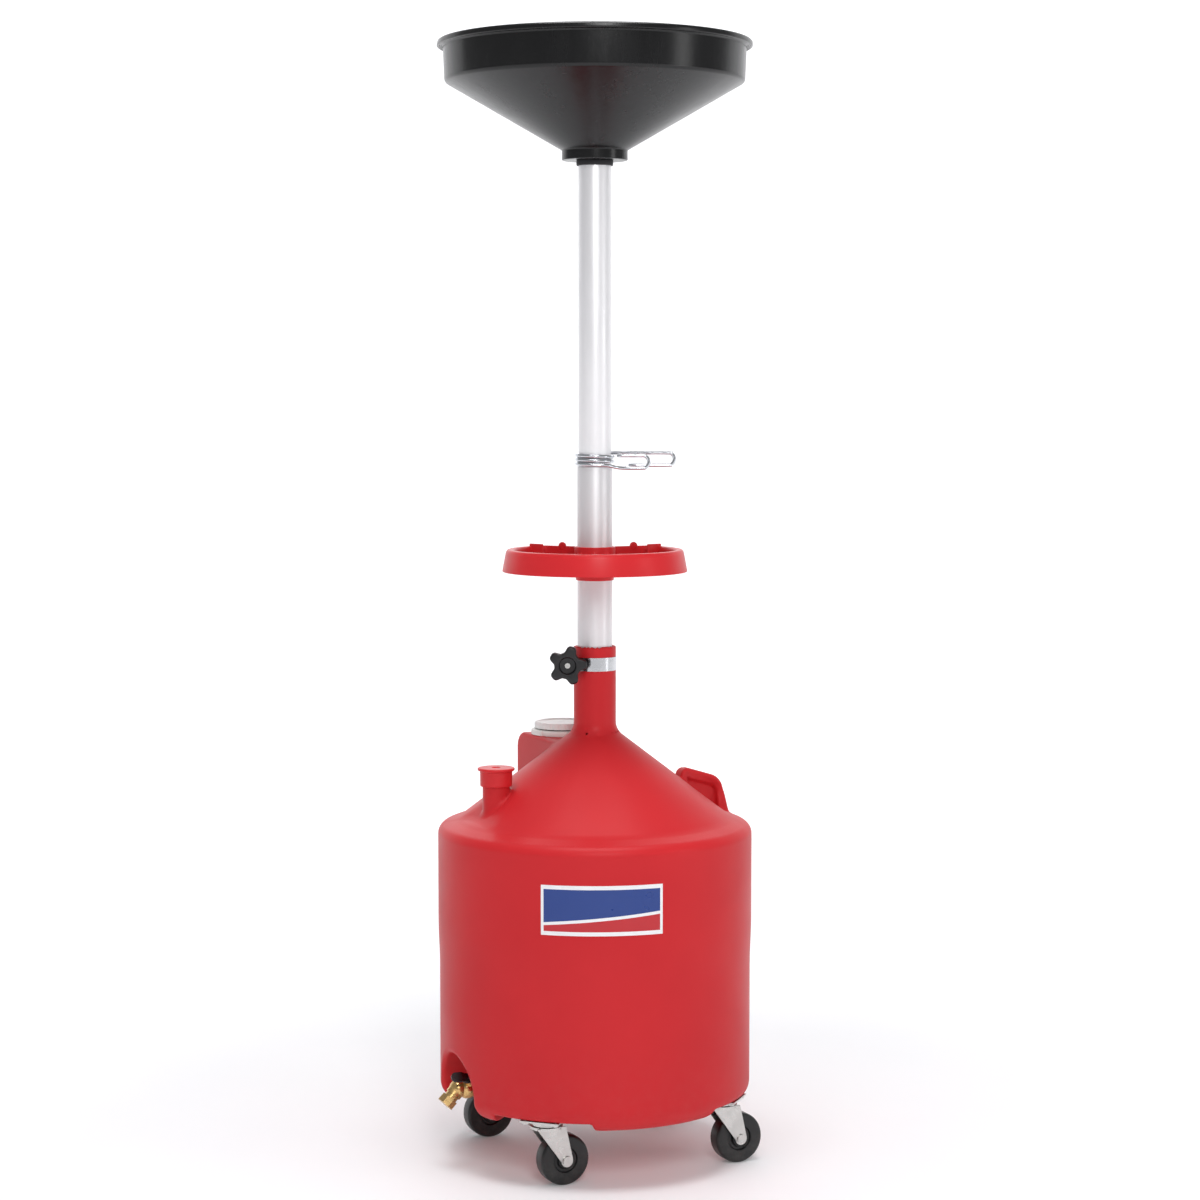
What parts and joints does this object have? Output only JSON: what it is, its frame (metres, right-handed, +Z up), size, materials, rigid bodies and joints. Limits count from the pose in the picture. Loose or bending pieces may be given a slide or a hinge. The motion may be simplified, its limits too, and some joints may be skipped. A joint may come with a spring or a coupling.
{
  "type": "mobile oil drainer",
  "caption": "Wheeled used-oil drainer: round tank with drain valve, telescopic column with tool tray and clamp, and a wide collecting bowl on top.",
  "frame": {"origin": "on the floor under the tank's axis", "axes": "+Z up along the column; -Y the front with the label, -X the drain valve's side, +X the carrying handle's side, +Y the filler's side"},
  "size_m": [0.488, 0.4705, 1.6575],
  "materials": {
    "red_tank": "satin rotationally moulded red polyethylene",
    "red_gloss": "glossy red injection moulded plastic",
    "black_bowl": "glossy black polypropylene",
    "black_knob": "satin black nylon",
    "black_rubber": "matt black rubber",
    "wheel_black": "satin black rubber wheel",
    "white_plastic": "semi-gloss white plastic",
    "seat_plastic": "natural white nylon",
    "satin_aluminium": "drawn aluminium tube with fine lengthwise grain",
    "bright_aluminium": "bright anodised aluminium tube",
    "polished_steel": "polished stainless strip",
    "spring_wire": "bright drawn spring wire",
    "zinc": "bright zinc plated steel",
    "chrome": "polished chromed ball",
    "brass": "machined brass",
    "black_lever": "black coated steel",
    "label": null
  },
  "bodies": {
    "tank": {"tank_body": "red_tank", "tank_top": "red_tank", "tank_neck": "red_tank", "label_plate": "label", "filler_flange": "white_plastic", "filler_gasket": "black_rubber", "drain_fitting": "brass", "valve_body": "brass", "valve_seats": "seat_plastic", "gland_nut": "brass", "outlet_washer": "black_rubber", "clamp_band": "polished_steel", "clamp_nut": "zinc", "caster_screws": "zinc", "caster_fl_plate": "zinc", "caster_fl_kingpin": "zinc", "caster_fr_plate": "zinc", "caster_fr_kingpin": "zinc", "caster_rl_plate": "zinc", "caster_rl_kingpin": "zinc", "caster_rr_plate": "zinc", "caster_rr_kingpin": "zinc"},
    "port_cap": {"port_cap": "red_gloss"},
    "filler_lid": {"filler_lid": "white_plastic"},
    "valve_lever": {"valve_ball": "chrome", "valve_stem": "brass", "valve_lever": "black_lever", "lever_nut": "zinc"},
    "outlet_cap": {"outlet_cap": "brass"},
    "star_knob": {"star_knob": "black_knob", "clamp_stud": "zinc"},
    "lower_column": {"lower_tube": "satin_aluminium", "lower_foot": "black_knob", "spring_clip": "spring_wire"},
    "tool_tray": {"tool_tray": "red_gloss", "tray_hub": "red_gloss"},
    "upper_column": {"upper_tube": "bright_aluminium", "upper_guide": "seat_plastic", "bowl_collar": "black_rubber"},
    "bowl": {"bowl": "black_bowl"},
    "caster_fl_fork": {"caster_fl_fork": "zinc", "caster_fl_axle": "zinc", "caster_fl_balls": "zinc"},
    "caster_fl_wheel": {"caster_fl_wheel": "wheel_black", "caster_fl_bush": "zinc"},
    "caster_fr_fork": {"caster_fr_fork": "zinc", "caster_fr_axle": "zinc", "caster_fr_balls": "zinc"},
    "caster_fr_wheel": {"caster_fr_wheel": "wheel_black", "caster_fr_bush": "zinc"},
    "caster_rl_fork": {"caster_rl_fork": "zinc", "caster_rl_axle": "zinc", "caster_rl_balls": "zinc"},
    "caster_rl_wheel": {"caster_rl_wheel": "wheel_black", "caster_rl_bush": "zinc"},
    "caster_rr_fork": {"caster_rr_fork": "zinc", "caster_rr_axle": "zinc", "caster_rr_balls": "zinc"},
    "caster_rr_wheel": {"caster_rr_wheel": "wheel_black", "caster_rr_bush": "zinc"}
  },
  "joints": [
    {"name": "lower_tube_slide", "type": "slide", "parent": "tank", "child": "lower_column", "axis": [0, 0, 1], "range_m": [-0.095, 0.13]},
    {"name": "upper_tube_slide", "type": "slide", "parent": "lower_column", "child": "upper_column", "axis": [0, 0, 1], "range_m": [-0.415, 0.064]},
    {"name": "bowl_lift_off", "type": "slide", "parent": "upper_column", "child": "bowl", "axis": [0, 0, 1], "range_m": [0, 0.04]},
    {"name": "tray_turn", "type": "hinge", "parent": "lower_column", "child": "tool_tray", "pos_m": [0, 0, 0.885], "axis": [0, 0, 1], "continuous": true},
    {"name": "knob_turn", "type": "hinge", "parent": "tank", "child": "star_knob", "pos_m": [-0.03625, 0.0169, 0.741], "axis": [-0.4226, -0.9063, 0], "range_deg": [0, 720]},
    {"name": "valve_lever_turn", "type": "hinge", "parent": "tank", "child": "valve_lever", "pos_m": [-0.208, 0, 0.118], "axis": [0, -0.7071, 0.7071], "range_deg": [0, 90]},
    {"name": "outlet_cap_turn", "type": "hinge", "parent": "tank", "child": "outlet_cap", "pos_m": [-0.222, 0, 0.118], "axis": [-0.7071, 0, -0.7071], "range_deg": [0, 1080]},
    {"name": "port_cap_lift", "type": "slide", "parent": "tank", "child": "port_cap", "axis": [0, 0, 1], "range_m": [0, 0.03]},
    {"name": "filler_lid_lift", "type": "slide", "parent": "tank", "child": "filler_lid", "axis": [0, 0, 1], "range_m": [0, 0.03]},
    {"name": "caster_fl_swivel", "type": "hinge", "parent": "tank", "child": "caster_fl_fork", "pos_m": [-0.14142, -0.14142, 0.08], "axis": [0, 0, 1], "continuous": true},
    {"name": "caster_fl_roll", "type": "hinge", "parent": "caster_fl_fork", "child": "caster_fl_wheel", "pos_m": [-0.11642, -0.14142, 0.0375], "axis": [0, 1, 0], "continuous": true},
    {"name": "caster_fr_swivel", "type": "hinge", "parent": "tank", "child": "caster_fr_fork", "pos_m": [0.14142, -0.14142, 0.08], "axis": [0, 0, 1], "continuous": true},
    {"name": "caster_fr_roll", "type": "hinge", "parent": "caster_fr_fork", "child": "caster_fr_wheel", "pos_m": [0.16642, -0.14142, 0.0375], "axis": [0, 1, 0], "continuous": true},
    {"name": "caster_rl_swivel", "type": "hinge", "parent": "tank", "child": "caster_rl_fork", "pos_m": [-0.14142, 0.14142, 0.08], "axis": [0, 0, 1], "continuous": true},
    {"name": "caster_rl_roll", "type": "hinge", "parent": "caster_rl_fork", "child": "caster_rl_wheel", "pos_m": [-0.11642, 0.14142, 0.0375], "axis": [0, 1, 0], "continuous": true},
    {"name": "caster_rr_swivel", "type": "hinge", "parent": "tank", "child": "caster_rr_fork", "pos_m": [0.14142, 0.14142, 0.08], "axis": [0, 0, 1], "continuous": true},
    {"name": "caster_rr_roll", "type": "hinge", "parent": "caster_rr_fork", "child": "caster_rr_wheel", "pos_m": [0.16642, 0.14142, 0.0375], "axis": [0, 1, 0], "continuous": true}
  ]
}
